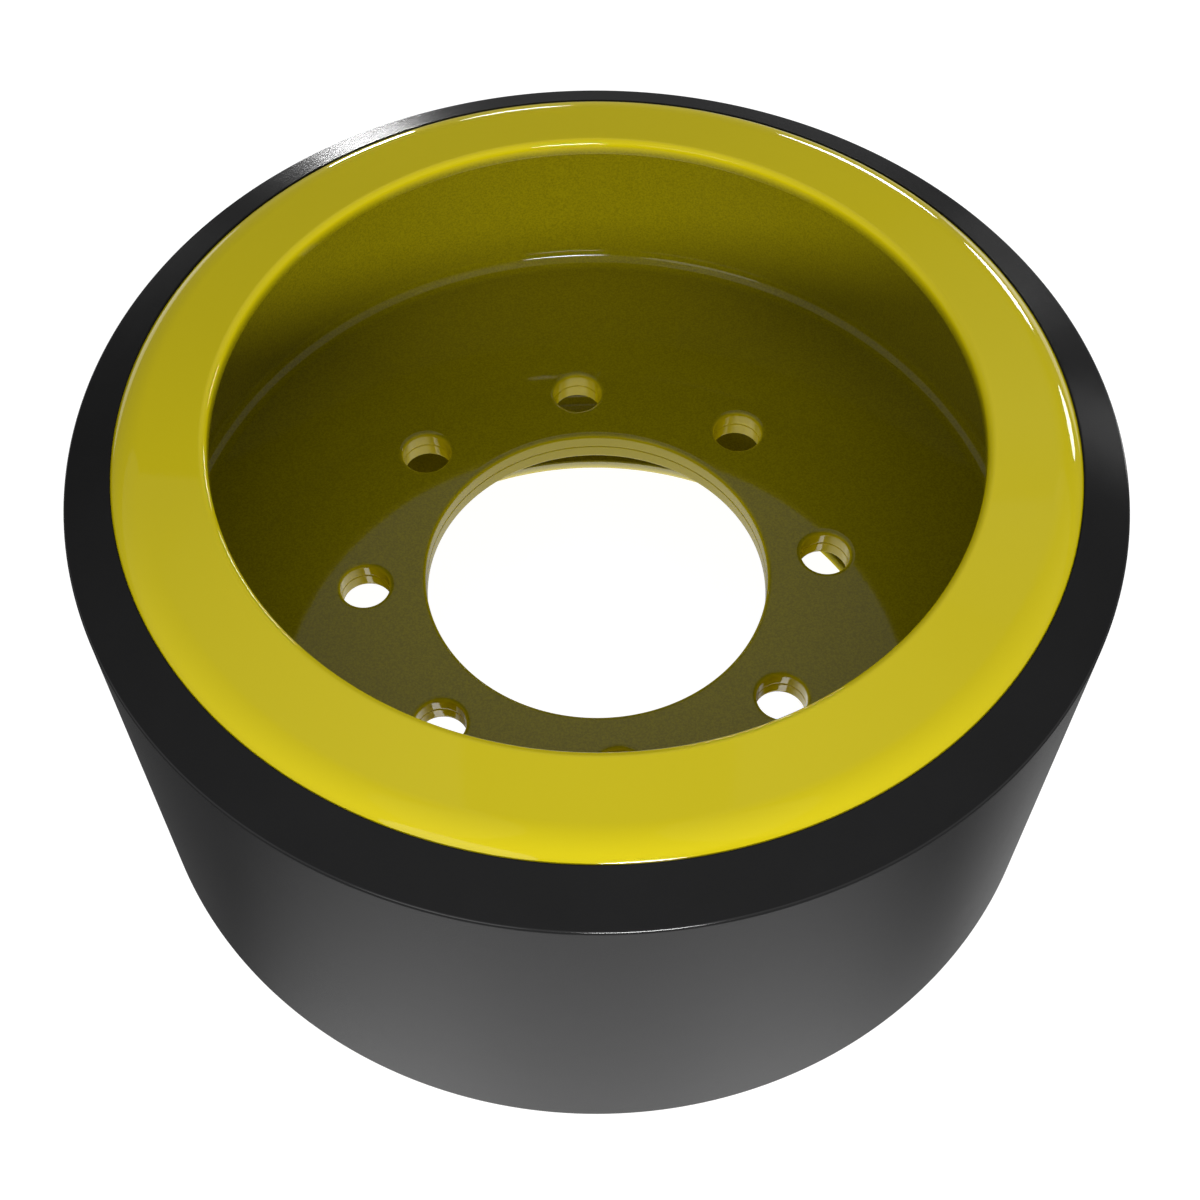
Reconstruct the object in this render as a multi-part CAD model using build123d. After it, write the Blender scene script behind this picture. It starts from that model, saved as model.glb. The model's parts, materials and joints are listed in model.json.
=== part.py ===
from build123d import *
import os
from math import asin, cos, degrees, radians, sin, tan

# A solid-tyred roller wheel for a crawler undercarriage. Two identical pressings of steel plate
# stand back to back, and one rubber tyre is moulded round them. Sizes are in millimetres.
# The wheel's axis is Z. The origin is the middle of the bore, on the plane where the discs meet.

# Steel plate of a wheel half, and the inside radii of its two bends
plate = 7.9
corner_bend = 7.5
shoulder_bend = 13.1

# Barrel, and the coned flange that turns inwards at its open end
barrel_bore = 375.6
half_width = 115.2
flange_reach = 43.7
flange_fall = 10.0
lip_round = 2.6
lip_back_round = 1.0

# Disc, with its bore and bolt holes, rolled over on the punched side
bore_diameter = 150.2
bolt_circle = 203.2
bolt_count = 8
bolt_hole = 21.6
punched_round = 2.2
joint_round = 0.5

# Rubber tyre, which covers the barrel and ends in a small step part of the way up each shoulder
rubber_depth = 15.4
cover_angle = 49.5
edge_step = 1.1
edge_round = 0.4
sidewall_drop = 11.7
tread_edge_round = 1.5
groove_gap = 2.0

# Places that follow from these sizes
bore_radius = bore_diameter / 2
barrel_inner = barrel_bore / 2
barrel_outer = barrel_inner + plate
corner_centre = barrel_inner - corner_bend
corner_outer = corner_bend + plate
shoulder_centre = barrel_inner - shoulder_bend
shoulder_outer = shoulder_bend + plate
mouth_radius = barrel_outer - flange_reach
flange_slope = radians(flange_fall)
cone_drop = (shoulder_centre - mouth_radius) * tan(flange_slope)
shoulder_height = half_width - cone_drop - shoulder_outer / cos(flange_slope)
tread_radius = barrel_outer + rubber_depth


def shoulder_point(radius, angle):
    """A point of the section on the shoulder, with the angle measured from the wheel's axis."""
    turn = radians(angle)
    return (shoulder_centre + radius * sin(turn), shoulder_height + radius * cos(turn))


def across_joint(point):
    """The same point of the section on the other wheel half."""
    return (point[0], -point[1])


def round_corner(section, corner, radius):
    """Round the corner of a section that lies at the given radius and height."""
    fillet(section.vertices().sort_by_distance(corner)[0], radius)


def pressed_section():
    """The plate's section from the bore, out along the disc, up the barrel and in to the mouth."""
    joint_edge = (bore_radius, 0)
    punched_edge = (bore_radius, plate)
    lip_top = (mouth_radius, half_width)
    lip_back = (mouth_radius, half_width - plate / cos(flange_slope))
    with BuildSketch(Plane.XZ) as section:
        with BuildLine():
            Line(joint_edge, (corner_centre, 0))
            CenterArc((corner_centre, corner_outer), corner_outer, -90, 90)
            Line((barrel_outer, corner_outer), (barrel_outer, shoulder_height))
            CenterArc((shoulder_centre, shoulder_height), shoulder_outer, 0, 90 - flange_fall)
            Line(shoulder_point(shoulder_outer, flange_fall), lip_top)
            Line(lip_top, lip_back)
            Line(lip_back, shoulder_point(shoulder_bend, flange_fall))
            CenterArc((shoulder_centre, shoulder_height), shoulder_bend, 0, 90 - flange_fall)
            Line((barrel_inner, shoulder_height), (barrel_inner, corner_outer))
            CenterArc((corner_centre, corner_outer), corner_bend, -90, 90)
            Line((corner_centre, plate), punched_edge)
            Line(punched_edge, joint_edge)
        make_face()
        round_corner(section, joint_edge, joint_round)
        round_corner(section, punched_edge, punched_round)
        round_corner(section, lip_top, lip_round)
        round_corner(section, lip_back, lip_back_round)
    return section.sketch


def bolt_hole_cutter():
    """The space of one bolt hole: straight, and flared by the rounds at both of its edges."""
    wall = bolt_hole / 2
    with BuildPart() as cutter:
        with BuildSketch(Plane.XZ):
            with BuildLine():
                Line((0, 0), (wall + joint_round, 0))
                CenterArc((wall + joint_round, joint_round), joint_round, 180, 90)
                Line((wall, joint_round), (wall, plate - punched_round))
                CenterArc((wall + punched_round, plate - punched_round), punched_round, 90, 90)
                Line((wall + punched_round, plate), (0, plate))
                Line((0, plate), (0, 0))
            make_face()
        revolve(axis=Axis.Z)
    return cutter.part


def wheel_half():
    """The front pressing: the revolved plate with its circle of bolt holes."""
    with BuildPart() as half:
        add(pressed_section())
        revolve(axis=Axis.Z)
        with PolarLocations(bolt_circle / 2, bolt_count):
            add(bolt_hole_cutter(), mode=Mode.SUBTRACT)
    return half.part


def rubber_tyre():
    """The tyre: outside, two sloping sidewalls and a plain tread. Inside, the outside of both halves."""
    groove_turn = degrees(asin(1 - groove_gap / 2 / corner_outer))
    cover_edge = shoulder_point(shoulder_outer, cover_angle)
    rubber_edge = (cover_edge[0], cover_edge[1] + edge_step)
    tread_edge = (tread_radius, rubber_edge[1] - sidewall_drop)
    with BuildPart() as tyre:
        with BuildSketch(Plane.XZ) as section:
            with BuildLine():
                bend = CenterArc((corner_centre, corner_outer), corner_outer, 0, -groove_turn)
                Line((barrel_outer, corner_outer), (barrel_outer, shoulder_height))
                CenterArc((shoulder_centre, shoulder_height), shoulder_outer, 0, 90 - cover_angle)
                Line(cover_edge, rubber_edge)
                Line(rubber_edge, tread_edge)
                mirror(about=Plane.XZ)
                Line(tread_edge, across_joint(tread_edge))
                groove = tuple(bend @ 1)
                Line(groove, across_joint(groove))
            make_face()
            for corner, radius in ((rubber_edge, edge_round), (tread_edge, tread_edge_round)):
                round_corner(section, corner, radius)
                round_corner(section, across_joint(corner), radius)
        revolve(axis=Axis.Z)
    return tyre.part


front_wheel_half = wheel_half()
rear_wheel_half = front_wheel_half.rotate(Axis.X, 180)

os.makedirs("parts", exist_ok=True)
export_step(rubber_tyre(), "parts/tyre.step")
export_step(front_wheel_half, "parts/front_wheel_half.step")
export_step(rear_wheel_half, "parts/rear_wheel_half.step")
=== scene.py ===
"""Roller wheel with a bonded rubber tyre: its finished surfaces, its camera and its studio."""

import json
from math import asin, atan2, cos, hypot, pi, radians, sin, tan

import bmesh
import bpy
from bpy.props import FloatProperty, FloatVectorProperty, IntProperty, PointerProperty
from bpy.types import Operator, Panel, PropertyGroup
from mathutils import Matrix, Vector


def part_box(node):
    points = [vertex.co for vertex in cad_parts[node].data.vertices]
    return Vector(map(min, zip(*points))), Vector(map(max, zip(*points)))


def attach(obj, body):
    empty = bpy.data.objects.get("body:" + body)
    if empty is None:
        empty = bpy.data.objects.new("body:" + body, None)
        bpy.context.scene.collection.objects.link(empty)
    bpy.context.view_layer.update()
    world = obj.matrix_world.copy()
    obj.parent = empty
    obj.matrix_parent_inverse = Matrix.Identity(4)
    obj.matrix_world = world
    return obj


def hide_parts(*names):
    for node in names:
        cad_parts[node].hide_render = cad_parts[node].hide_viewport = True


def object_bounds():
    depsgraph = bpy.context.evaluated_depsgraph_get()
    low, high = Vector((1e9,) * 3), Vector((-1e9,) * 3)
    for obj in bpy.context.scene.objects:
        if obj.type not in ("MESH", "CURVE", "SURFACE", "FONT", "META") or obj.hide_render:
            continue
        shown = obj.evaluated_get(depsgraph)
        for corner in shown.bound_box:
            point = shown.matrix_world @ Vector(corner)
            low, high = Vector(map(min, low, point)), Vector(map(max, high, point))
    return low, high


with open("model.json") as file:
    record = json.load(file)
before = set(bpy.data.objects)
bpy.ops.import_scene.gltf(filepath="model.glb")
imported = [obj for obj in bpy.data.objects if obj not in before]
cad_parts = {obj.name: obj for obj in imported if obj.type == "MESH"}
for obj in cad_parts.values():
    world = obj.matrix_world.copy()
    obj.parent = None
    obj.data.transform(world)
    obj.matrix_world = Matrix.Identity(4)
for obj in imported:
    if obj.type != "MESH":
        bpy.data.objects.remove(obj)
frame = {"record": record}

bl_info = {
    "name": "Roller Wheel",
    "version": (1, 0, 0),
    "blender": (4, 5, 0),
    "location": "3D View > Sidebar > Roller Wheel",
    "description": "A pressed steel roller wheel with a bonded rubber tyre",
    "category": "Add Mesh",
}

CAD_LOW, CAD_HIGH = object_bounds()
MOUNTS = {mount["name"]: mount for mount in frame["record"]["mounts"]}
HOLE_MARK = "is_bolt_hole"
WELD_DISTANCE = 0.00001


def round_reach(node):
    """The radius of a round CAD node that keeps a piece inside the node's box on every side."""
    low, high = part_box(node)
    return min(-low.x, high.x, -low.y, high.y)


class WheelSizes(PropertyGroup):
    """Sizes of one pressed wheel half."""

    plate: FloatProperty(
        name="Plate", description="Thickness of the steel", unit="LENGTH",
        default=MOUNTS["front_disc_face"]["pos_m"][2])
    outer_radius: FloatProperty(
        name="Barrel radius", description="Outside of the barrel", unit="LENGTH",
        default=round_reach("front_wheel_half"))
    half_width: FloatProperty(
        name="Half width", description="Joint plane to the lip's untrimmed corner", unit="LENGTH",
        default=0.1152)
    corner_bend: FloatProperty(
        name="Corner bend", description="Inside radius from disc to barrel", unit="LENGTH",
        default=0.0075)
    shoulder_bend: FloatProperty(
        name="Shoulder bend", description="Inside radius from barrel to flange", unit="LENGTH",
        default=0.0131)
    flange_reach: FloatProperty(
        name="Flange reach", description="Barrel's outside to the mouth", unit="LENGTH",
        default=0.0437)
    flange_fall: FloatProperty(
        name="Flange fall", description="Slope of the flange down to its shoulder",
        subtype="ANGLE", default=radians(10))
    lip_round: FloatProperty(
        name="Lip round", description="Rounding of the mouth's upper edge", unit="LENGTH",
        default=0.0026)
    lip_back_round: FloatProperty(
        name="Lip back round", description="Rounding of the mouth's lower edge", unit="LENGTH",
        default=0.001)
    bore_radius: FloatProperty(
        name="Bore radius", description="Centre bore", unit="LENGTH",
        default=MOUNTS["centre_bore"]["dims"]["r_mm"] / 1000)
    bolt_circle: FloatProperty(
        name="Bolt circle radius", description="Axis to the bolt holes", unit="LENGTH",
        default=MOUNTS["bolt_circle"]["dims"]["pcd_mm"] / 2000)
    bolt_count: IntProperty(
        name="Bolt holes", description="Holes on the bolt circle",
        default=MOUNTS["bolt_circle"]["dims"]["count"])
    bolt_hole: FloatProperty(
        name="Bolt hole radius", description="Straight part of a bolt hole", unit="LENGTH",
        default=MOUNTS["bolt_circle"]["dims"]["hole_r_mm"] / 1000)
    punched_round: FloatProperty(
        name="Punched edge", description="Roll of a hole's edge on the open side", unit="LENGTH",
        default=0.0022)
    joint_round: FloatProperty(
        name="Joint edge", description="Roll of a hole's edge at the joint", unit="LENGTH",
        default=0.0005)
    support: FloatProperty(
        name="Edge support", description="Flat strip kept beside each bend", unit="LENGTH",
        default=0.0003)
    segments: IntProperty(
        name="Segments", description="Steps round the wheel", default=288)
    hole_segments: IntProperty(
        name="Hole segments", description="Steps round a bolt hole", default=48)
    bend_steps: IntProperty(
        name="Bend steps", description="Steps across a bend of the section", default=12)


class TyreSizes(PropertyGroup):
    """Sizes of the rubber tyre."""

    tread_radius: FloatProperty(
        name="Tread radius", description="Axis to the tread", unit="LENGTH",
        default=round_reach("tyre"))
    cover_angle: FloatProperty(
        name="Cover angle", description="Place of the rubber's edge on the shoulder's bend",
        subtype="ANGLE", default=radians(49.5))
    edge_step: FloatProperty(
        name="Edge step", description="Height of the rubber's edge over the shoulder",
        unit="LENGTH", default=0.0011)
    sidewall_drop: FloatProperty(
        name="Sidewall drop", description="Rubber's edge down to the tread's edge", unit="LENGTH",
        default=0.0117)
    edge_round: FloatProperty(
        name="Edge round", description="Rounding of the rubber's inner edge", unit="LENGTH",
        default=0.0004)
    tread_edge_round: FloatProperty(
        name="Tread edge round", description="Rounding of the tread's edges", unit="LENGTH",
        default=0.0015)
    groove_gap: FloatProperty(
        name="Groove gap", description="Width where the rubber ends between the bends",
        unit="LENGTH", default=0.002)


class WheelFinish(PropertyGroup):
    """Colours and sheen of the wheel's paint and rubber."""

    paint: FloatVectorProperty(
        name="Paint", description="Yellow gloss paint", subtype="COLOR", size=3,
        default=(0.82, 0.683, 0.005))
    paint_thin: FloatVectorProperty(
        name="Thin paint", description="Paint where its film is thinner", subtype="COLOR", size=3,
        default=(0.80, 0.663, 0.004))
    # Painted shade: the next two colours are far darker than the paint and stand in for the shade
    # inside the hollow; the darker one shows as a random speckle.
    hollow_shade_paint: FloatVectorProperty(
        name="Overspray", description="Thin paint inside the hollow", subtype="COLOR", size=3,
        default=(0.36, 0.307, 0.003))
    hollow_shade_speckle: FloatVectorProperty(
        name="Overspray gaps", description="Where the primer shows through the thin paint",
        subtype="COLOR", size=3, default=(0.245, 0.208, 0.002))
    rubber: FloatVectorProperty(
        name="Rubber", description="Moulded black rubber", subtype="COLOR", size=3,
        default=(0.017, 0.017, 0.0172))
    rubber_bloom: FloatVectorProperty(
        name="Rubber bloom", description="Rubber where its surface has greyed", subtype="COLOR",
        size=3, default=(0.022, 0.022, 0.0225))
    paint_roughness: FloatProperty(
        name="Paint roughness", description="Roughness of the paint at its smoothest", default=0.03)
    paint_spread: FloatProperty(
        name="Paint spread", description="Roughness that the film's unevenness adds", default=0.03)
    paint_specular: FloatProperty(
        name="Paint specular", description="Mirror reflection of the paint", default=0.38)
    peel_strength: FloatProperty(
        name="Peel strength", description="Strength of the paint's fine waves", default=0.015)
    peel_depth: FloatProperty(
        name="Peel depth", description="Depth of the paint's fine waves", unit="LENGTH",
        default=0.0004)
    rubber_roughness: FloatProperty(
        name="Rubber roughness", description="Roughness of the rubber at its smoothest",
        default=0.19)
    rubber_spread: FloatProperty(
        name="Rubber spread", description="Roughness that the bloom adds", default=0.06)
    rubber_specular: FloatProperty(
        name="Rubber specular", description="Mirror reflection of the rubber", default=0.012)
    slick_roughness: FloatProperty(
        name="Slick roughness", description="Roughness of the slick strip on the tread's edges",
        default=0.12)
    grain_strength: FloatProperty(
        name="Grain strength", description="Strength of the rubber's grain", default=0.15)
    grain_depth: FloatProperty(
        name="Grain depth", description="Depth of the rubber's grain", unit="LENGTH",
        default=0.0003)


class StudioSettings(PropertyGroup):
    """Camera, floor and light of the studio."""

    azimuth: FloatProperty(
        name="Azimuth", description="Turn of the camera and lights about the wheel's axis",
        subtype="ANGLE", default=radians(-5.4))
    distance: FloatProperty(
        name="Distance", description="Axis to the camera, level", unit="LENGTH", default=0.464)
    height: FloatProperty(
        name="Height", description="Joint plane to the camera", unit="LENGTH", default=0.665)
    tilt: FloatProperty(
        name="Tilt", description="Camera's look down", subtype="ANGLE", default=radians(56.99))
    pan: FloatProperty(
        name="Pan", description="Camera's turn", subtype="ANGLE", default=radians(-0.25))
    roll: FloatProperty(
        name="Roll", description="Camera's roll", subtype="ANGLE", default=radians(0.53))
    lens: FloatProperty(
        name="Lens", description="Focal length in mm on a 36 mm sensor", default=54.9)
    shift_x: FloatProperty(name="Shift across", description="Lens shift", default=-0.0006)
    shift_y: FloatProperty(name="Shift up", description="Lens shift", default=0.0329)
    light_distance: FloatProperty(
        name="Light distance", description="Wheel to each light", unit="LENGTH", default=2.5)
    sky_strength: FloatProperty(
        name="Sky strength", description="Even light from all round", default=0.165)
    floor_shift: FloatProperty(
        name="Floor shift", description="Wheel's axis to the floor's middle, towards the camera",
        unit="LENGTH", default=0.2)
    floor_reach: FloatProperty(
        name="Floor reach", description="Radius of the floor", unit="LENGTH", default=0.86)
    floor_shade: FloatProperty(
        name="Floor shade", description="Grey of the floor's surface", default=0.25)
    floor_glow: FloatProperty(
        name="Floor glow", description="Light that the floor gives by itself", default=0.975)
    card_glow: FloatProperty(
        name="Card glow", description="Light of a reflection card at its brightest", default=3.2)
    card_shade: FloatProperty(
        name="Card shade", description="Share of that light outside a card's pools", default=0.04)


class Value:
    """A number inside a shader that can be written in a formula."""

    def __init__(self, graph, socket):
        self.graph = graph
        self.socket = socket

    def _join(self, operation, first, second):
        node = self.graph.add(
            "ShaderNodeMath", {"operation": operation}, {0: first, 1: second})
        return Value(self.graph, node.outputs[0])

    def __add__(self, other):
        return self._join("ADD", self, other)

    def __radd__(self, other):
        return self._join("ADD", other, self)

    def __sub__(self, other):
        return self._join("SUBTRACT", self, other)

    def __rsub__(self, other):
        return self._join("SUBTRACT", other, self)

    def __mul__(self, other):
        return self._join("MULTIPLY", self, other)

    def __abs__(self):
        return self._join("ABSOLUTE", self, 0.0)

    def at_least(self, other):
        return self._join("MAXIMUM", self, other)

    def root(self):
        return self._join("SQRT", self, 0.0)

    def rise(self, low, high):
        """From 0 at the low value to 1 at the high one, smoothly."""
        node = self.graph.add("ShaderNodeMapRange", {"interpolation_type": "SMOOTHSTEP"}, {
            "Value": self, "From Min": low, "From Max": high})
        return Value(self.graph, node.outputs["Result"])


class Graph:
    """Adds nodes to a tree, with their settings first and then their sockets."""

    def __init__(self, tree):
        self.tree = tree

    def add(self, kind, settings=None, sockets=None):
        node = self.tree.nodes.new(kind)
        for name, value in (settings or {}).items():
            setattr(node, name, value)
        for name, value in (sockets or {}).items():
            self.feed(node.inputs[name], value)
        return node

    def feed(self, socket, value):
        if isinstance(value, tuple) and isinstance(value[0], bpy.types.NodeSocket):
            for source in value:
                self.tree.links.new(source, socket)
            return
        source = value.socket if isinstance(value, Value) else value
        if isinstance(source, bpy.types.NodeSocket):
            self.tree.links.new(source, socket)
        else:
            socket.default_value = source


def geometry_tree(name, inputs):
    """A geometry tree with the named inputs and one mesh output, as its graph and its two ends."""
    tree = bpy.data.node_groups.new(name, "GeometryNodeTree")
    for label, kind in inputs:
        tree.interface.new_socket(label, in_out="INPUT", socket_type=kind)
    tree.interface.new_socket("Mesh", in_out="OUTPUT", socket_type="NodeSocketGeometry")
    graph = Graph(tree)
    start = graph.add("NodeGroupInput")
    end = graph.add("NodeGroupOutput")
    return graph, start.outputs, end.inputs["Mesh"]


def turned_tree():
    """Turns a section, drawn upright beside the axis, into a round body."""
    graph, given, result = geometry_tree("Turned section", (
        ("Section", "NodeSocketGeometry"),
        ("Segments", "NodeSocketInt")))
    path_radius = 0.1
    laid = graph.add("GeometryNodeTransform", None, {
        "Geometry": given["Section"],
        "Translation": (-path_radius, 0, 0),
        "Rotation": (pi / 2, 0, 0)})
    profile = graph.add("GeometryNodeMeshToCurve", None, {"Mesh": laid.outputs["Geometry"]})
    path = graph.add("GeometryNodeCurvePrimitiveCircle", {"mode": "RADIUS"}, {
        "Resolution": given["Segments"],
        "Radius": path_radius})
    body = graph.add("GeometryNodeCurveToMesh", None, {
        "Curve": path.outputs["Curve"],
        "Profile Curve": profile.outputs["Curve"]})
    graph.feed(result, body.outputs["Mesh"])
    return graph.tree


def on_bolt_circle(graph, given, instance):
    """Copies of an instance on every place of the bolt circle, as real geometry."""
    places = graph.add("GeometryNodeMeshCircle", None, {
        "Vertices": given["Bolt count"],
        "Radius": given["Bolt circle"]})
    copies = graph.add("GeometryNodeInstanceOnPoints", None, {
        "Points": places.outputs["Mesh"],
        "Instance": instance})
    real = graph.add("GeometryNodeRealizeInstances", None, {
        "Geometry": copies.outputs["Instances"]})
    return real.outputs["Geometry"]


def drilled_disc_tree():
    """A flat ring with a circle of round holes."""
    graph, given, result = geometry_tree("Drilled disc", (
        ("Outer radius", "NodeSocketFloat"),
        ("Inner radius", "NodeSocketFloat"),
        ("Hole radius", "NodeSocketFloat"),
        ("Height", "NodeSocketFloat"),
        ("Bolt circle", "NodeSocketFloat"),
        ("Bolt count", "NodeSocketInt"),
        ("Segments", "NodeSocketInt"),
        ("Hole segments", "NodeSocketInt")))

    def ring(radius, segments):
        circle = graph.add("GeometryNodeCurvePrimitiveCircle", {"mode": "RADIUS"}, {
            "Resolution": segments,
            "Radius": radius})
        return circle.outputs["Curve"]

    hole = ring(given["Hole radius"], given["Hole segments"])
    outlines = graph.add("GeometryNodeJoinGeometry", None, {"Geometry": (
        ring(given["Outer radius"], given["Segments"]),
        ring(given["Inner radius"], given["Segments"]),
        on_bolt_circle(graph, given, hole))})
    disc = graph.add("GeometryNodeFillCurve", {"mode": "TRIANGLES"}, {
        "Curve": outlines.outputs["Geometry"]})
    rise = graph.add("ShaderNodeCombineXYZ", None, {"Z": given["Height"]})
    raised = graph.add("GeometryNodeTransform", None, {
        "Geometry": disc.outputs["Mesh"],
        "Translation": rise.outputs["Vector"]})
    graph.feed(result, raised.outputs["Geometry"])
    return graph.tree


def round_body_tree(turned):
    """A round body with no holes: one turned section."""
    graph, given, result = geometry_tree("Round body", (
        ("Section", "NodeSocketGeometry"),
        ("Segments", "NodeSocketInt"),
        ("Finish", "NodeSocketMaterial")))
    body = graph.add("GeometryNodeGroup", {"node_tree": turned}, {
        "Section": given["Section"],
        "Segments": given["Segments"]})
    finish_body(graph, body.outputs["Mesh"], given["Finish"], result)
    return graph.tree


def pressing_tree(turned, drilled_disc):
    """A pressing: its turned section, the walls of its bolt holes and its two disc faces."""
    graph, given, result = geometry_tree("Drilled pressing", (
        ("Section", "NodeSocketGeometry"),
        ("Segments", "NodeSocketInt"),
        ("Hole segments", "NodeSocketInt"),
        ("Bolt circle", "NodeSocketFloat"),
        ("Bolt count", "NodeSocketInt"),
        ("Disc radius", "NodeSocketFloat"),
        ("Open inner radius", "NodeSocketFloat"),
        ("Open hole radius", "NodeSocketFloat"),
        ("Joint inner radius", "NodeSocketFloat"),
        ("Joint hole radius", "NodeSocketFloat"),
        ("Plate", "NodeSocketFloat"),
        ("Finish", "NodeSocketMaterial")))
    mark = graph.add("GeometryNodeInputNamedAttribute", {"data_type": "BOOLEAN"}, {
        "Name": HOLE_MARK})
    parts = graph.add("GeometryNodeSeparateGeometry", {"domain": "POINT"}, {
        "Geometry": given["Section"],
        "Selection": mark.outputs["Attribute"]})
    shell = graph.add("GeometryNodeGroup", {"node_tree": turned}, {
        "Section": parts.outputs["Inverted"],
        "Segments": given["Segments"]})
    hole = graph.add("GeometryNodeGroup", {"node_tree": turned}, {
        "Section": parts.outputs["Selection"],
        "Segments": given["Hole segments"]})

    def disc(inner, hole_radius, height):
        face = graph.add("GeometryNodeGroup", {"node_tree": drilled_disc}, {
            "Outer radius": given["Disc radius"],
            "Inner radius": inner,
            "Hole radius": hole_radius,
            "Height": height,
            "Bolt circle": given["Bolt circle"],
            "Bolt count": given["Bolt count"],
            "Segments": given["Segments"],
            "Hole segments": given["Hole segments"]})
        return face.outputs["Mesh"]

    whole = graph.add("GeometryNodeJoinGeometry", None, {"Geometry": (
        shell.outputs["Mesh"],
        on_bolt_circle(graph, given, hole.outputs["Mesh"]),
        disc(given["Open inner radius"], given["Open hole radius"], given["Plate"]),
        disc(given["Joint inner radius"], given["Joint hole radius"], 0.0))})
    finish_body(graph, whole.outputs["Geometry"], given["Finish"], result)
    return graph.tree


def finish_body(graph, mesh, finish, result):
    """Close the seams, shade smooth, and end in real geometry with its material."""
    closed = graph.add("GeometryNodeMergeByDistance", None, {
        "Geometry": mesh,
        "Distance": WELD_DISTANCE})
    smooth = graph.add("GeometryNodeSetShadeSmooth", None, {
        "Geometry": closed.outputs["Geometry"]})
    real = graph.add("GeometryNodeRealizeInstances", None, {
        "Geometry": smooth.outputs["Geometry"]})
    coated = graph.add("GeometryNodeSetMaterial", None, {
        "Geometry": real.outputs["Geometry"],
        "Material": finish})
    graph.feed(result, coated.outputs["Geometry"])


def arc(centre, radius, start, turn, steps):
    """Points of a bend in the section, with angles from the outward direction."""
    angles = [start + turn * step / steps for step in range(steps + 1)]
    return [(centre[0] + radius * cos(angle), centre[1] + radius * sin(angle)) for angle in angles]


def with_supports(points, strip):
    """Add a point close to each end of every long straight, so that flats stay flat."""
    long_enough = 8 * strip
    supported = [points[0]]
    for (r0, z0), (r1, z1) in zip(points, points[1:]):
        length = hypot(r1 - r0, z1 - z0)
        if length > long_enough:
            for share in (strip / length, 1 - strip / length):
                supported.append((r0 + (r1 - r0) * share, z0 + (z1 - z0) * share))
        supported.append((r1, z1))
    return supported


class Shoulder:
    """The bend between the barrel and the flange, which the tyre follows as well."""

    def __init__(self, wheel):
        self.inner = wheel.shoulder_bend
        self.outer = wheel.shoulder_bend + wheel.plate
        self.radius = wheel.outer_radius - self.outer
        self.mouth = wheel.outer_radius - wheel.flange_reach
        drop = (self.radius - self.mouth) * tan(wheel.flange_fall)
        self.height = wheel.half_width - drop - self.outer / cos(wheel.flange_fall)


def pressed_chains(wheel):
    """The pressing's section as three chains: round the lip, through the bore, and a bolt hole."""
    steps = wheel.bend_steps
    strip = wheel.support
    plate = wheel.plate
    slope = wheel.flange_fall
    shoulder = Shoulder(wheel)
    inner_wall = wheel.outer_radius - plate
    corner = (inner_wall - wheel.corner_bend, wheel.corner_bend + plate)
    centre = (shoulder.radius, shoulder.height)
    lip = wheel.lip_round
    back = wheel.lip_back_round
    lip_centre = (
        shoulder.mouth + lip,
        wheel.half_width - lip * tan(slope) - lip / cos(slope))
    back_centre = (
        shoulder.mouth + back,
        wheel.half_width - plate / cos(slope) - back * tan(slope) + back / cos(slope))
    shell = [(corner[0] - strip, plate)]
    shell += arc(corner, wheel.corner_bend, -pi / 2, pi / 2, steps)
    shell += arc(centre, shoulder.inner, 0, pi / 2 - slope, steps)
    shell += arc(back_centre, back, -pi / 2 - slope, slope - pi / 2, steps // 2)
    shell += arc(lip_centre, lip, pi, -pi / 2 - slope, steps)
    shell += arc(centre, shoulder.outer, pi / 2 - slope, slope - pi / 2, 2 * steps)
    shell += arc(corner, wheel.corner_bend + plate, 0, -pi / 2, steps)
    shell += [(corner[0] - strip, 0)]
    return (
        with_supports(shell, strip),
        edge_chain(wheel, wheel.bore_radius),
        edge_chain(wheel, wheel.bolt_hole))


def edge_chain(wheel, radius):
    """Section of a punched edge: rolled over on the open side, nearly sharp at the joint."""
    strip = wheel.support
    steps = wheel.bend_steps
    punched = wheel.punched_round
    joint = wheel.joint_round
    chain = [(radius + punched + strip, wheel.plate)]
    chain += arc((radius + punched, wheel.plate - punched), punched, pi / 2, pi / 2, steps)
    chain += arc((radius + joint, joint), joint, pi, pi / 2, steps // 3)
    chain += [(radius + joint + strip, 0)]
    return with_supports(chain, strip)


def tyre_chain(wheel, tyre):
    """The tyre's closed section: its outside, and the outside of both halves as its inside."""
    shoulder = Shoulder(wheel)
    steps = wheel.bend_steps
    centre = (shoulder.radius, shoulder.height)
    bend = wheel.corner_bend + wheel.plate
    corner = (wheel.outer_radius - bend, bend)
    edge_radius = shoulder.radius + shoulder.outer * sin(tyre.cover_angle)
    edge_height = shoulder.height + shoulder.outer * cos(tyre.cover_angle) + tyre.edge_step
    slope = atan2(tyre.sidewall_drop, tyre.tread_radius - edge_radius)
    edge = tyre.edge_round
    edge_centre = (edge_radius + edge, edge_height - edge * (1 + sin(slope)) / cos(slope))
    tread = tyre.tread_edge_round
    tread_centre = (
        tyre.tread_radius - tread,
        edge_height - tyre.sidewall_drop - tread * (1 - sin(slope)) / cos(slope))
    groove_turn = asin(1 - tyre.groove_gap / 2 / bend)
    upper = arc(corner, bend, -groove_turn, groove_turn, steps)
    upper += arc(centre, shoulder.outer, 0, pi / 2 - tyre.cover_angle, steps)
    upper += arc(edge_centre, edge, pi, -pi / 2 - slope, steps // 2)
    upper += arc(tread_centre, tread, pi / 2 - slope, slope - pi / 2, steps // 2)
    whole = upper + [(radius, -height) for radius, height in reversed(upper)]
    return with_supports(whole + [whole[0]], wheel.support)


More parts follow.
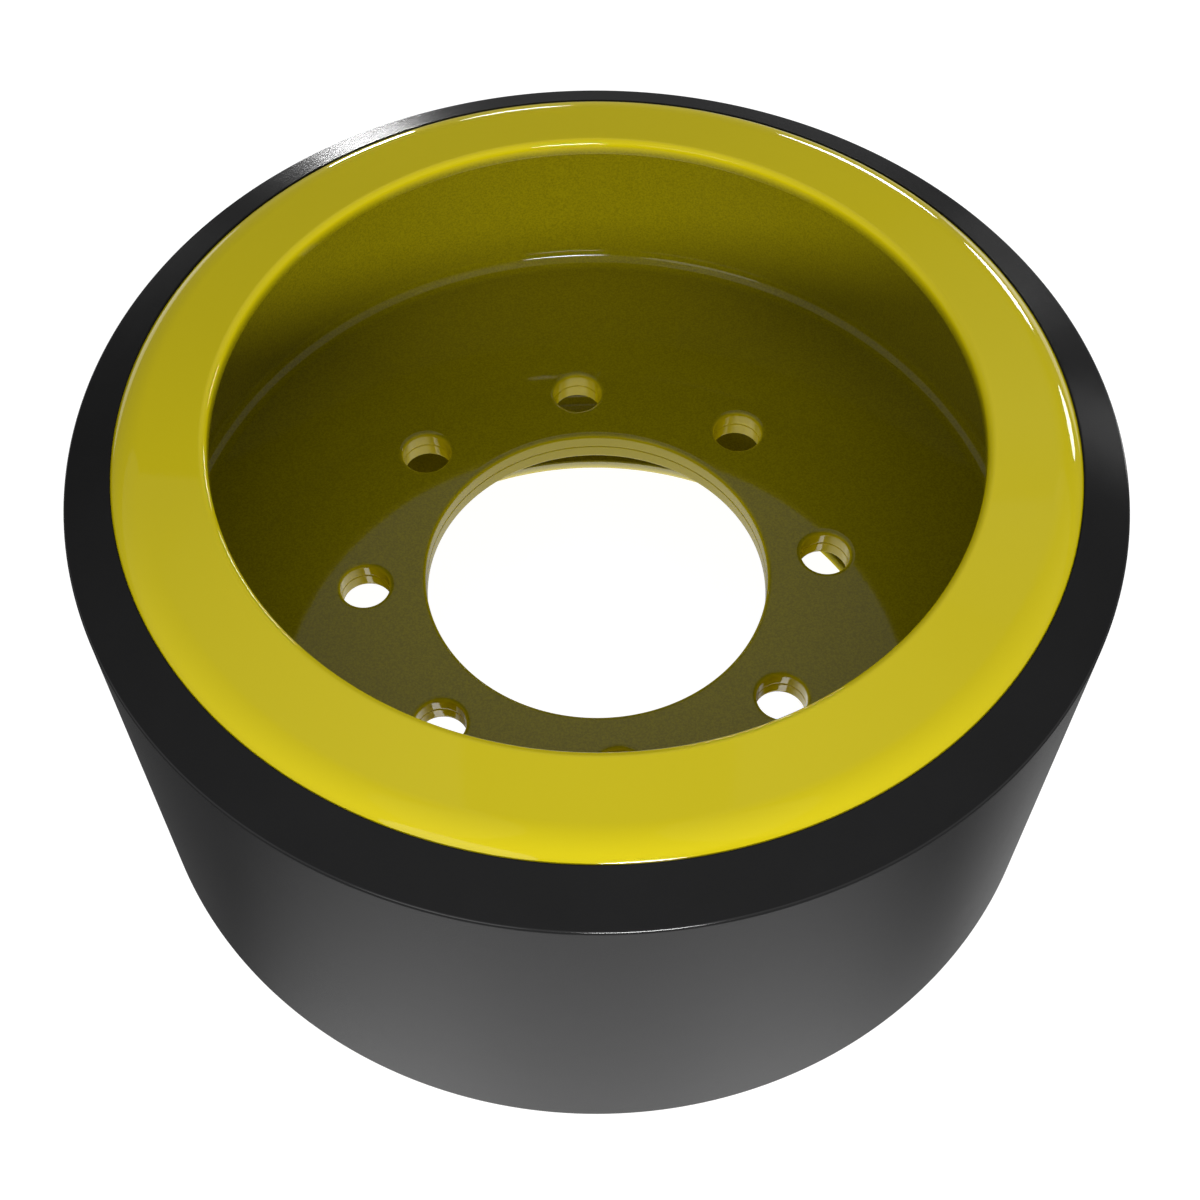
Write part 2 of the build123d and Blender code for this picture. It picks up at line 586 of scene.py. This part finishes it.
def section_object(name, chains, marked=()):
    """A mesh of section lines; the chains in marked belong to a bolt hole."""
    points = []
    lines = []
    marks = []
    for index, chain in enumerate(chains):
        first = len(points)
        points += [(radius, 0, height) for radius, height in chain]
        marks += [index in marked] * len(chain)
        lines += [(first + step, first + step + 1) for step in range(len(chain) - 1)]
    mesh = bpy.data.meshes.new(name)
    mesh.from_pydata(points, lines, [])
    attribute = mesh.attributes.new(HOLE_MARK, "BOOLEAN", "POINT")
    attribute.data.foreach_set("value", marks)
    piece = bpy.data.objects.new(name, mesh)
    bpy.context.scene.collection.objects.link(piece)
    return piece


def grow(piece, tree, values):
    """Run a geometry tree on a piece and keep the result as its plain, outward-facing mesh."""
    modifier = piece.modifiers.new(tree.name, "NODES")
    modifier.node_group = tree
    for item in tree.interface.items_tree:
        if item.in_out == "INPUT" and item.name in values:
            modifier[item.identifier] = values[item.name]
    depsgraph = bpy.context.evaluated_depsgraph_get()
    grown = bpy.data.meshes.new_from_object(piece.evaluated_get(depsgraph))
    piece.modifiers.remove(modifier)
    lines = piece.data
    piece.data = grown
    bpy.data.meshes.remove(lines)
    grown.name = piece.name
    for index in reversed(range(len(grown.materials))):
        if grown.materials[index] is None:
            grown.materials.pop(index=index)
    shape = bmesh.new()
    shape.from_mesh(grown)
    bmesh.ops.remove_doubles(shape, verts=shape.verts, dist=WELD_DISTANCE)
    bmesh.ops.recalc_face_normals(shape, faces=shape.faces)
    shape.to_mesh(grown)
    shape.free()


def shader(name):
    """A new material's graph and its surface shader."""
    material = bpy.data.materials.new(name)
    material.use_nodes = True
    graph = Graph(material.node_tree)
    return material, graph, material.node_tree.nodes["Principled BSDF"]


def noise(graph, scale, detail=2.0, roughness=0.5):
    """Noise on the piece's own coordinates, from 0 to 1."""
    place = graph.add("ShaderNodeTexCoord")
    node = graph.add("ShaderNodeTexNoise", None, {
        "Vector": place.outputs["Object"],
        "Scale": scale,
        "Detail": detail,
        "Roughness": roughness})
    return Value(graph, node.outputs["Fac"])


def grey(level):
    """A colour with as much red as green and blue."""
    return (level, level, level)


def blend(graph, share, first, second):
    """A colour between two others, each one a set of three numbers or a socket."""
    ends = [end if isinstance(end, bpy.types.NodeSocket) else (*end, 1) for end in (first, second)]
    node = graph.add("ShaderNodeMix", {"data_type": "RGBA"}, {
        "Factor": share, 6: ends[0], 7: ends[1]})
    return node.outputs[2]


def coordinates(graph):
    """The place on the piece, as its three numbers."""
    place = graph.add("ShaderNodeTexCoord")
    axes = graph.add("ShaderNodeSeparateXYZ", None, {0: place.outputs["Object"]})
    return [Value(graph, output) for output in axes.outputs]


def hollow_shade_share(graph, wheel):
    """Share of painted shade: 1 on a pressing's hollow side and 0 on its outside, with the change
    across the lip's face, and less on the walls of the bore and bolt holes.
    """
    change_start = 0.001
    change_end = 0.0066
    rolled_edge = 0.0012
    # Share of the painted shade taken off the walls of the bore and bolt holes, so that they stay
    # lighter.
    shade_spared_on_hole_walls = 0.8
    shoulder = Shoulder(wheel)
    x, y, z = coordinates(graph)
    radius = (x * x + y * y).root()
    beyond = (radius - shoulder.radius).at_least(0.0)
    short = (shoulder.radius - radius).at_least(0.0)
    above = (abs(z) - shoulder.height - short * tan(wheel.flange_fall)).at_least(0.0)
    distance = (beyond * beyond + above * above).root()
    hole_walls = 1 - abs(z).rise(wheel.plate - rolled_edge, wheel.plate)
    hollow = 1 - distance.rise(shoulder.inner + change_start, shoulder.inner + change_end)
    return hollow - hollow * hole_walls * shade_spared_on_hole_walls


def fine_relief(graph, surface, height, strength, depth):
    """Unevenness too fine for the mesh."""
    bump = graph.add("ShaderNodeBump", None, {
        "Strength": strength,
        "Distance": depth,
        "Height": height})
    graph.feed(surface.inputs["Normal"], bump.outputs["Normal"])


def gloss_paint(finish, wheel):
    """Yellow gloss paint: full colour outside, and painted shade with a random speckle inside the
    hollow.
    """
    material, graph, surface = shader("gloss_paint")
    film = noise(graph, scale=14, detail=3.0)
    peel = noise(graph, scale=420)
    speckle = noise(graph, scale=1100, roughness=0.7).rise(0.3, 0.7)
    outside = blend(graph, film, finish.paint, finish.paint_thin)
    # Painted shade: the hollow side is given darker, speckled colours so that it looks shaded.
    inside = blend(graph, speckle, finish.hollow_shade_paint, finish.hollow_shade_speckle)
    colour = blend(graph, hollow_shade_share(graph, wheel), outside, inside)
    graph.feed(surface.inputs["Base Color"], colour)
    graph.feed(surface.inputs["Roughness"], finish.paint_roughness + film * finish.paint_spread)
    graph.feed(surface.inputs["Specular IOR Level"], finish.paint_specular)
    fine_relief(graph, surface, peel, finish.peel_strength, finish.peel_depth)
    return material


def tread_edge_share(graph, wheel, tyre):
    """1 on the rounds at the tread's edges and 0 elsewhere."""
    shoulder = Shoulder(wheel)
    edge_height = shoulder.height + shoulder.outer * cos(tyre.cover_angle) + tyre.edge_step
    tread_height = edge_height - tyre.sidewall_drop
    bend = tyre.tread_edge_round
    inner_end = tyre.tread_radius - 0.6 * bend
    inner_full = tyre.tread_radius - 0.45 * bend
    soft = 0.1 * bend
    x, y, z = coordinates(graph)
    outward = (x * x + y * y).root().rise(inner_end, inner_full)
    return outward * abs(z).rise(tread_height - soft, tread_height + soft)


def moulded_rubber(finish, wheel, tyre):
    """Black tyre rubber: satin, with a fine grain and a patchy bloom, and slick tread edges."""
    material, graph, surface = shader("moulded_rubber")
    slick = tread_edge_share(graph, wheel, tyre)
    bloom = noise(graph, scale=22, detail=4.0, roughness=0.6)
    grain = noise(graph, scale=1400)
    colour = blend(graph, bloom, finish.rubber, finish.rubber_bloom)
    graph.feed(surface.inputs["Base Color"], colour)
    graph.feed(surface.inputs["Roughness"], finish.rubber_roughness + bloom * finish.rubber_spread)
    graph.feed(surface.inputs["Specular IOR Level"], finish.rubber_specular)
    graph.feed(surface.inputs["Coat Weight"], slick)
    graph.feed(surface.inputs["Coat Roughness"], finish.slick_roughness)
    fine_relief(graph, surface, grain, finish.grain_strength, finish.grain_depth)
    return material


class ROLLERWHEEL_OT_pressings(Operator):
    """Make the two painted steel pressings"""

    bl_idname = "roller_wheel.pressings"
    bl_label = "Steel pressings"

    def execute(self, context):
        wheel = context.scene.wheel_sizes
        turned = turned_tree()
        tree = pressing_tree(turned, drilled_disc_tree())
        paint = gloss_paint(context.scene.wheel_finish, wheel)
        strip = wheel.support
        corner = wheel.outer_radius - wheel.plate - wheel.corner_bend
        values = {
            "Segments": wheel.segments,
            "Hole segments": wheel.hole_segments,
            "Bolt circle": wheel.bolt_circle,
            "Bolt count": wheel.bolt_count,
            "Disc radius": corner - strip,
            "Open inner radius": wheel.bore_radius + wheel.punched_round + strip,
            "Open hole radius": wheel.bolt_hole + wheel.punched_round + strip,
            "Joint inner radius": wheel.bore_radius + wheel.joint_round + strip,
            "Joint hole radius": wheel.bolt_hole + wheel.joint_round + strip,
            "Plate": wheel.plate,
            "Finish": paint,
        }
        front = section_object("front_pressing", pressed_chains(wheel), marked={2})
        grow(front, tree, values)
        turned_over = front.data.copy()
        turned_over.transform(Matrix.Rotation(pi, 4, "X"))
        rear = bpy.data.objects.new("rear_pressing", turned_over)
        context.scene.collection.objects.link(rear)
        for piece, node in ((front, "front_wheel_half"), (rear, "rear_wheel_half")):
            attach(piece, "root")
            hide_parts(node)
        return {"FINISHED"}


class ROLLERWHEEL_OT_tyre(Operator):
    """Make the moulded rubber tyre"""

    bl_idname = "roller_wheel.tyre"
    bl_label = "Rubber tyre"

    def execute(self, context):
        wheel = context.scene.wheel_sizes
        tyre = context.scene.tyre_sizes
        piece = section_object("rubber_tyre", [tyre_chain(wheel, tyre)])
        grow(piece, round_body_tree(turned_tree()), {
            "Segments": wheel.segments,
            "Finish": moulded_rubber(context.scene.wheel_finish, wheel, tyre)})
        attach(piece, "root")
        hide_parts("tyre")
        return {"FINISHED"}


def place_camera(studio, turn):
    """The camera at the photograph's place."""
    lens = bpy.data.cameras.new("camera")
    lens.sensor_width = 36
    lens.lens = studio.lens
    lens.shift_x = studio.shift_x
    lens.shift_y = studio.shift_y
    lens.clip_start = 0.01
    lens.clip_end = 50
    camera = bpy.data.objects.new("camera", lens)
    bpy.context.scene.collection.objects.link(camera)
    look = Matrix.Rotation(studio.pan, 4, "Z") @ Matrix.Rotation(pi / 2 - studio.tilt, 4, "X")
    aim = look @ Matrix.Rotation(studio.roll, 4, "Z")
    stand = Matrix.Translation((0, -studio.distance, studio.height))
    camera.matrix_world = turn @ stand @ aim
    bpy.context.scene.camera = camera


def softbox(name, turn, distance, azimuth, elevation, size, radiance, spread=180):
    """An elliptical light that faces the wheel, with its direction from the wheel in degrees."""
    lamp = bpy.data.lights.new(name, "AREA")
    lamp.shape = "ELLIPSE"
    lamp.size, lamp.size_y = size
    area = pi / 4 * lamp.size * lamp.size_y
    lamp.energy = radiance * pi * area
    if spread < 180:
        # A narrow spread is brighter in its middle, so it takes less power for the same radiance
        edge = radians(spread) / 2
        lamp.spread = radians(spread)
        lamp.energy *= 1 - edge / tan(edge)
    light = bpy.data.objects.new(name, lamp)
    bpy.context.scene.collection.objects.link(light)
    around = radians(azimuth)
    up = radians(elevation)
    away = Vector((cos(around) * cos(up), sin(around) * cos(up), sin(up)))
    place = Matrix.Translation(away * distance) @ away.to_track_quat("Z", "Y").to_matrix().to_4x4()
    light.matrix_world = turn @ place


def studio_sky(strength):
    """An even white light from all round."""
    world = bpy.data.worlds.new("studio")
    world.use_nodes = True
    background = world.node_tree.nodes["Background"]
    background.inputs["Color"].default_value = (*grey(1), 1)
    background.inputs["Strength"].default_value = strength
    bpy.context.scene.world = world


def stage_disc(name, middle, reach):
    """A flat round piece of the studio with a new material, as the object, graph and shader."""
    mesh = bpy.data.meshes.new(name)
    corners = 64
    angles = [2 * pi * step / corners for step in range(corners)]
    rim = [(middle.x + reach * cos(a), middle.y + reach * sin(a), middle.z) for a in angles]
    mesh.from_pydata(rim, [], [tuple(range(corners))])
    disc = bpy.data.objects.new(name, mesh)
    bpy.context.scene.collection.objects.link(disc)
    material, graph, surface = shader(name)
    mesh.materials.append(material)
    return disc, graph, surface


def studio_floor(studio, height, turn):
    """A pale floor under the wheel, lit from within so that it stays white."""
    middle = turn @ Vector((0, -studio.floor_shift, height))
    floor, graph, surface = stage_disc("studio_floor", middle, studio.floor_reach)
    graph.feed(surface.inputs["Base Color"], (*grey(studio.floor_shade), 1))
    graph.feed(surface.inputs["Roughness"], 0.9)
    graph.feed(surface.inputs["Emission Color"], (*grey(1), 1))
    graph.feed(surface.inputs["Emission Strength"], studio.floor_glow)
    floor.visible_glossy = False


def reflection_card(studio, name, middle, reach):
    """A card that only reflections see, as its graph and shader."""
    card, graph, surface = stage_disc(name, middle, reach)
    graph.feed(surface.inputs["Base Color"], (*grey(0), 1))
    graph.feed(surface.inputs["Specular IOR Level"], 0.0)
    graph.feed(surface.inputs["Emission Strength"], studio.card_glow)
    card.visible_camera = False
    card.visible_diffuse = False
    card.visible_transmission = False
    card.visible_shadow = False
    return graph, surface


def light_card(studio, graph, surface, glow):
    """Light a card by a share between its shade and full white."""
    colour = blend(graph, glow, grey(studio.card_shade), grey(1))
    graph.feed(surface.inputs["Emission Color"], colour)


def pool(graph, middle, bright, dark):
    """A round pool of light on a card: 1 up to the bright radius and 0 beyond the dark one."""
    x, y = coordinates(graph)[:2]
    across = x - middle.x
    along = y - middle.y
    return 1 - (across * across + along * along).root().rise(bright, dark)


def bore_card(studio, height):
    """A card close under the bore, for the walls of the bore and the bolt holes."""
    above_floor = 0.001
    middle = Vector((0, 0, height + above_floor))
    graph, surface = reflection_card(studio, "bore_card", middle, reach=0.13)
    light_card(studio, graph, surface, pool(graph, middle, bright=0.06, dark=0.12) * 0.3)


def tread_card(studio, height, turn):
    """A card far below the floor, whose pools give the tread its upright bands."""
    below_floor = 1.39
    middle = turn @ Vector((0, -0.1, height - below_floor))
    graph, surface = reflection_card(studio, "tread_card", middle, reach=1.7)
    front = pool(graph, turn @ Vector((0, -0.78, 0)), bright=0.375, dark=1.28)
    side = pool(graph, turn @ Vector((0.83, 0.35, 0)), bright=0.1, dark=0.6)
    light_card(studio, graph, surface, front + side * 0.13)


# Each light's direction from the wheel in degrees, its size in metres and its radiance
LIGHTS = {
    "key": dict(azimuth=-82, elevation=19, size=(0.80, 0.40), radiance=43),
    "window_1": dict(azimuth=106.5, elevation=-6, size=(0.30, 0.12), radiance=240),
    "window_2": dict(azimuth=96, elevation=6, size=(0.34, 0.14), radiance=16),
    "window_3": dict(azimuth=70, elevation=7, size=(0.62, 0.40), radiance=14),
    "window_4": dict(azimuth=54, elevation=8, size=(0.48, 0.40), radiance=14),
    "window_5": dict(azimuth=36, elevation=8, size=(0.44, 0.36), radiance=11),
    "low_right": dict(azimuth=48, elevation=-12, size=(1.4, 0.9), radiance=0.9),
    "low_back": dict(azimuth=70, elevation=-27, size=(1.2, 0.8), radiance=0.5),
    "low_left": dict(azimuth=134, elevation=-12, size=(1.4, 0.9), radiance=0.8),
    "fill": dict(azimuth=-115, elevation=24, size=(1.2, 0.9), radiance=1.5),
    "front_sky": dict(azimuth=-90, elevation=55, size=(3.0, 3.0), radiance=0.16),
    "left_sky": dict(azimuth=190, elevation=42, size=(4.2, 4.2), radiance=0.22),
    "near_right_sky": dict(azimuth=-12, elevation=42, size=(4.2, 4.2), radiance=0.16),
    "far_sky": dict(azimuth=88, elevation=66, size=(3.1, 3.1), radiance=0.52, spread=64),
    "right_sky": dict(azimuth=53, elevation=39, size=(1.8, 1.8), radiance=0.35, spread=40),
}


class ROLLERWHEEL_OT_stage(Operator):
    """Set up the camera, the floor and the studio light"""

    bl_idname = "roller_wheel.stage"
    bl_label = "Studio"

    def execute(self, context):
        studio = context.scene.studio_settings
        turn = Matrix.Rotation(studio.azimuth, 4, "Z")
        floor_height = CAD_LOW.z
        place_camera(studio, turn)
        studio_floor(studio, floor_height, turn)
        bore_card(studio, floor_height)
        tread_card(studio, floor_height, turn)
        studio_sky(studio.sky_strength)
        for name, light in LIGHTS.items():
            softbox(name, turn, studio.light_distance, **light)
        context.scene.view_settings.view_transform = "Standard"
        return {"FINISHED"}


class ROLLERWHEEL_PT_sidebar(Panel):
    """Buttons that make the wheel and its studio"""

    bl_label = "Roller Wheel"
    bl_space_type = "VIEW_3D"
    bl_region_type = "UI"
    bl_category = "Roller Wheel"

    def draw(self, context):
        for operator in STEPS:
            self.layout.operator(operator.bl_idname)


STEPS = (ROLLERWHEEL_OT_pressings, ROLLERWHEEL_OT_tyre, ROLLERWHEEL_OT_stage)
GROUPS = {
    "wheel_sizes": WheelSizes,
    "tyre_sizes": TyreSizes,
    "wheel_finish": WheelFinish,
    "studio_settings": StudioSettings,
}


def register():
    for group in GROUPS.values():
        bpy.utils.register_class(group)
    for name, group in GROUPS.items():
        setattr(bpy.types.Scene, name, PointerProperty(type=group))
    for item in (*STEPS, ROLLERWHEEL_PT_sidebar):
        bpy.utils.register_class(item)


def unregister():
    for item in (ROLLERWHEEL_PT_sidebar, *reversed(STEPS)):
        bpy.utils.unregister_class(item)
    for name in GROUPS:
        delattr(bpy.types.Scene, name)
    for group in GROUPS.values():
        bpy.utils.unregister_class(group)


def main():
    register()
    bpy.ops.roller_wheel.pressings()
    bpy.ops.roller_wheel.tyre()
    bpy.ops.roller_wheel.stage()


if __name__ == "__main__":
    main()
